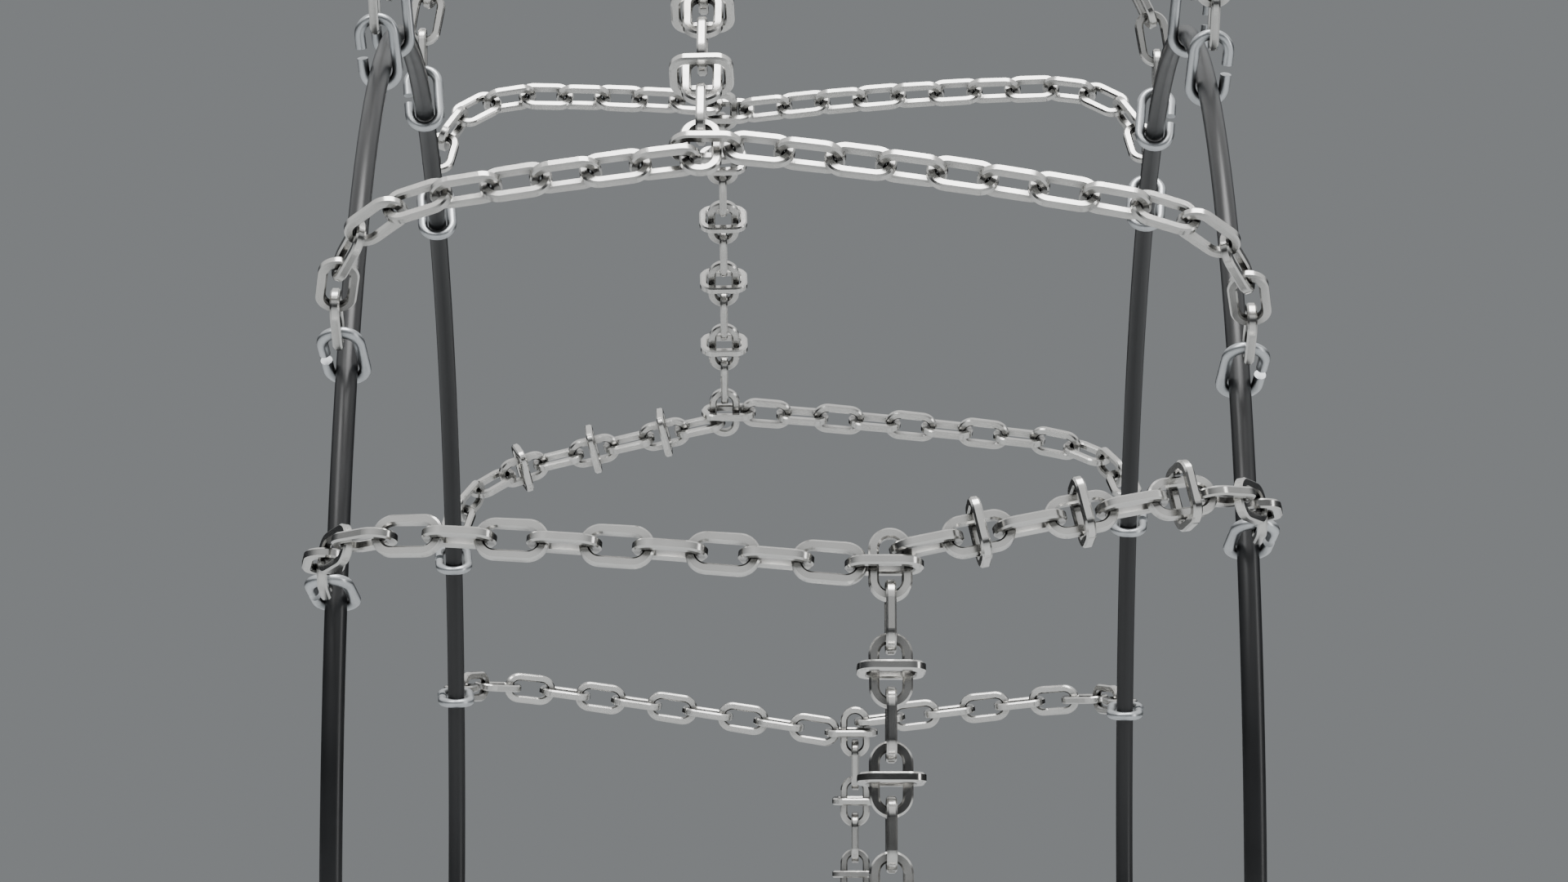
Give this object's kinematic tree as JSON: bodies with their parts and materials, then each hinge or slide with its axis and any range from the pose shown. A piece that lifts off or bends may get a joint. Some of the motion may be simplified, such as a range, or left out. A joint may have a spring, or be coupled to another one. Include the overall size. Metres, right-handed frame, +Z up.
{
  "type": "tire snow chain",
  "caption": "Diamond-pattern snow chain for a car wheel: square-wire links with grip rings, side cables, hooks and a ratchet tensioner.",
  "frame": {"origin": "centre of the wheel that the chain is fitted on, on its axis and in the middle of the tread's width", "axes": "+Y along the wheel's axis towards the street side, +Z up, +X towards the front of the tread"},
  "size_m": [0.6832, 0.2681, 0.6832],
  "materials": {
    "link_steel": "bright satin hardened alloy steel",
    "ring_steel": "bright satin hardened alloy steel",
    "cable_sheath": "extruded black sheath over steel cable",
    "hook_steel": "zinc plated wire",
    "forged_steel": "zinc plated forging",
    "case_nylon": "moulded glass-filled nylon",
    "knob_nylon": "moulded nylon",
    "wire_cord": "stranded galvanised wire",
    "pin_steel": "turned steel"
  },
  "bodies": {
    "root": {"upper_junction_link": "link_steel", "upper_short_leg": "link_steel", "upper_long_leg": "link_steel", "lower_junction_link": "link_steel", "lower_short_leg": "link_steel", "lower_long_leg": "link_steel", "net_2": "link_steel", "net_3": "link_steel", "net_4": "link_steel", "net_5": "link_steel", "net_6": "link_steel", "net_7": "link_steel", "net_8": "link_steel", "cross_rings": "ring_steel", "inner_hooks": "hook_steel", "outer_hooks": "hook_steel", "inner_cable": "cable_sheath", "inner_forks": "forged_steel", "inner_fork_pins": "pin_steel", "outer_cable": "cable_sheath", "outer_forks": "forged_steel", "outer_fork_pins": "pin_steel", "tensioner_case": "case_nylon", "tensioner_cover": "case_nylon", "cover_screws": "pin_steel", "drum_axle": "pin_steel", "pawl_pin": "pin_steel", "pawl_spring": "pin_steel"},
    "middle_link_1": {"middle_link_1": "link_steel"},
    "middle_link_2": {"middle_link_2": "link_steel"},
    "middle_link_3": {"middle_link_3": "link_steel"},
    "middle_link_4": {"middle_link_4": "link_steel"},
    "middle_link_5": {"middle_link_5": "link_steel"},
    "middle_link_6": {"middle_link_6": "link_steel"},
    "middle_link_7": {"middle_link_7": "link_steel"},
    "middle_link_8": {"middle_link_8": "link_steel"},
    "middle_link_9": {"middle_link_9": "link_steel"},
    "middle_ring_1": {"middle_ring_1": "ring_steel"},
    "middle_ring_2": {"middle_ring_2": "ring_steel"},
    "middle_ring_3": {"middle_ring_3": "ring_steel"},
    "middle_ring_4": {"middle_ring_4": "ring_steel"},
    "cross_ring_1": {"cross_ring_1": "ring_steel"},
    "cross_ring_2": {"cross_ring_2": "ring_steel"},
    "cross_ring_3": {"cross_ring_3": "ring_steel"},
    "middle_rings_2": {"middle_rings_2": "ring_steel"},
    "middle_rings_3": {"middle_rings_3": "ring_steel"},
    "middle_rings_4": {"middle_rings_4": "ring_steel"},
    "middle_rings_5": {"middle_rings_5": "ring_steel"},
    "middle_rings_6": {"middle_rings_6": "ring_steel"},
    "middle_rings_7": {"middle_rings_7": "ring_steel"},
    "middle_rings_8": {"middle_rings_8": "ring_steel"},
    "reel": {"cord_drum": "pin_steel", "ratchet_wheel": "pin_steel", "tension_knob": "knob_nylon", "wound_cord": "wire_cord"},
    "release_pawl": {"release_pawl": "pin_steel"},
    "cord_end": {"tension_cord": "wire_cord", "cord_fork": "forged_steel"},
    "outer_hook": {"outer_hook": "forged_steel"},
    "inner_hook": {"inner_hook": "forged_steel"}
  },
  "joints": [
    {"name": "link_1_lift", "type": "hinge", "parent": "root", "child": "middle_link_1", "pos_m": [0.32757, 0.0244, 0.06086], "axis": [0, -1, 0], "range_deg": [0, 6]},
    {"name": "link_2_lift", "type": "hinge", "parent": "middle_link_1", "child": "middle_link_2", "pos_m": [0.3298, 0.0244, 0.04729], "axis": [0, -1, 0], "range_deg": [-1.5, 0]},
    {"name": "link_3_lift", "type": "hinge", "parent": "middle_link_2", "child": "middle_link_3", "pos_m": [0.33147, 0.0244, 0.03364], "axis": [0, -1, 0], "range_deg": [-1.5, 0]},
    {"name": "link_4_lift", "type": "hinge", "parent": "middle_link_3", "child": "middle_link_4", "pos_m": [0.33257, 0.0244, 0.01994], "axis": [0, -1, 0], "range_deg": [-1.5, 0]},
    {"name": "link_5_lift", "type": "hinge", "parent": "middle_link_4", "child": "middle_link_5", "pos_m": [0.33311, 0.0244, 0.0062], "axis": [0, -1, 0], "range_deg": [-1.5, 0]},
    {"name": "link_6_lift", "type": "hinge", "parent": "middle_link_5", "child": "middle_link_6", "pos_m": [0.33309, 0.0244, -0.00755], "axis": [0, -1, 0], "range_deg": [-1.5, 0]},
    {"name": "link_7_lift", "type": "hinge", "parent": "middle_link_6", "child": "middle_link_7", "pos_m": [0.33249, 0.0244, -0.02129], "axis": [0, -1, 0], "range_deg": [-1.5, 0]},
    {"name": "link_8_lift", "type": "hinge", "parent": "middle_link_7", "child": "middle_link_8", "pos_m": [0.33133, 0.0244, -0.03499], "axis": [0, -1, 0], "range_deg": [-1.5, 0]},
    {"name": "link_9_lift", "type": "hinge", "parent": "middle_link_8", "child": "middle_link_9", "pos_m": [0.3296, 0.0244, -0.04863], "axis": [0, -1, 0], "range_deg": [-1.5, 0]},
    {"name": "middle_ring_1_slide", "type": "slide", "parent": "middle_link_2", "child": "middle_ring_1", "axis": [0.1215, 0, -0.9926], "range_m": [-0.0022, 0.0022]},
    {"name": "middle_ring_2_slide", "type": "slide", "parent": "middle_link_4", "child": "middle_ring_2", "axis": [0.0392, 0, -0.9992], "range_m": [-0.0022, 0.0022]},
    {"name": "middle_ring_3_slide", "type": "slide", "parent": "middle_link_6", "child": "middle_ring_3", "axis": [-0.0433, 0, -0.9991], "range_m": [-0.0022, 0.0022]},
    {"name": "middle_ring_4_slide", "type": "slide", "parent": "middle_link_8", "child": "middle_ring_4", "axis": [-0.1255, 0, -0.9921], "range_m": [-0.0022, 0.0022]},
    {"name": "cross_ring_1_slide", "type": "slide", "parent": "root", "child": "cross_ring_1", "axis": [-0.0994, 0.974, 0.2037], "range_m": [-0.002, 0.002]},
    {"name": "cross_ring_2_slide", "type": "slide", "parent": "root", "child": "cross_ring_2", "axis": [-0.1302, 0.9723, 0.1939], "range_m": [-0.002, 0.002]},
    {"name": "cross_ring_3_slide", "type": "slide", "parent": "root", "child": "cross_ring_3", "axis": [-0.3432, 0.9297, 0.1335], "range_m": [-0.002, 0.002]},
    {"name": "middle_rings_2_slide", "type": "hinge", "parent": "root", "child": "middle_rings_2", "pos_m": [0, 0, 0], "axis": [0, 1, 0], "range_deg": [-0.36, 0.36]},
    {"name": "middle_rings_3_slide", "type": "hinge", "parent": "root", "child": "middle_rings_3", "pos_m": [0, 0, 0], "axis": [0, 1, 0], "range_deg": [-0.36, 0.36]},
    {"name": "middle_rings_4_slide", "type": "hinge", "parent": "root", "child": "middle_rings_4", "pos_m": [0, 0, 0], "axis": [0, 1, 0], "range_deg": [-0.36, 0.36]},
    {"name": "middle_rings_5_slide", "type": "hinge", "parent": "root", "child": "middle_rings_5", "pos_m": [0, 0, 0], "axis": [0, 1, 0], "range_deg": [-0.36, 0.36]},
    {"name": "middle_rings_6_slide", "type": "hinge", "parent": "root", "child": "middle_rings_6", "pos_m": [0, 0, 0], "axis": [0, 1, 0], "range_deg": [-0.36, 0.36]},
    {"name": "middle_rings_7_slide", "type": "hinge", "parent": "root", "child": "middle_rings_7", "pos_m": [0, 0, 0], "axis": [0, 1, 0], "range_deg": [-0.36, 0.36]},
    {"name": "middle_rings_8_slide", "type": "hinge", "parent": "root", "child": "middle_rings_8", "pos_m": [0, 0, 0], "axis": [0, 1, 0], "range_deg": [-0.36, 0.36]},
    {"name": "reel_turn", "type": "hinge", "parent": "root", "child": "reel", "pos_m": [0.02544, 0.12135, -0.27031], "axis": [0, 1, 0], "range_deg": [0, 5.6]},
    {"name": "cord_pull", "type": "slide", "parent": "root", "child": "cord_end", "axis": [0.9998, 0, 0.0192], "range_m": [0, 0.001]},
    {"name": "pawl_lift", "type": "hinge", "parent": "root", "child": "release_pawl", "pos_m": [0.02868, 0.12135, -0.28679], "axis": [0, 1, 0], "range_deg": [-8, 0], "stiffness_Nm_per_rad": 0.02, "springref_deg": 5.73, "deforming": ["pawl_spring"]},
    {"name": "inner_hook_swing", "type": "hinge", "parent": "root", "child": "inner_hook", "pos_m": [0.00638, -0.12135, -0.2649], "axis": [0, 1, 0], "range_deg": [0, 60]},
    {"name": "outer_hook_swing", "type": "hinge", "parent": "cord_end", "child": "outer_hook", "pos_m": [-0.02124, 0.12135, -0.261], "axis": [0, 1, 0], "range_deg": [0, 60]}
  ],
  "couplings": [
    {"joint": "link_2_lift", "follows": "link_1_lift", "ratio": -0.25},
    {"joint": "link_3_lift", "follows": "link_1_lift", "ratio": -0.25},
    {"joint": "link_4_lift", "follows": "link_1_lift", "ratio": -0.25},
    {"joint": "link_5_lift", "follows": "link_1_lift", "ratio": -0.25},
    {"joint": "link_6_lift", "follows": "link_1_lift", "ratio": -0.25},
    {"joint": "link_7_lift", "follows": "link_1_lift", "ratio": -0.25},
    {"joint": "link_8_lift", "follows": "link_1_lift", "ratio": -0.25},
    {"joint": "link_9_lift", "follows": "link_1_lift", "ratio": -0.25},
    {"joint": "cord_pull", "follows": "reel_turn", "m_per_rad": 0.0102}
  ]
}
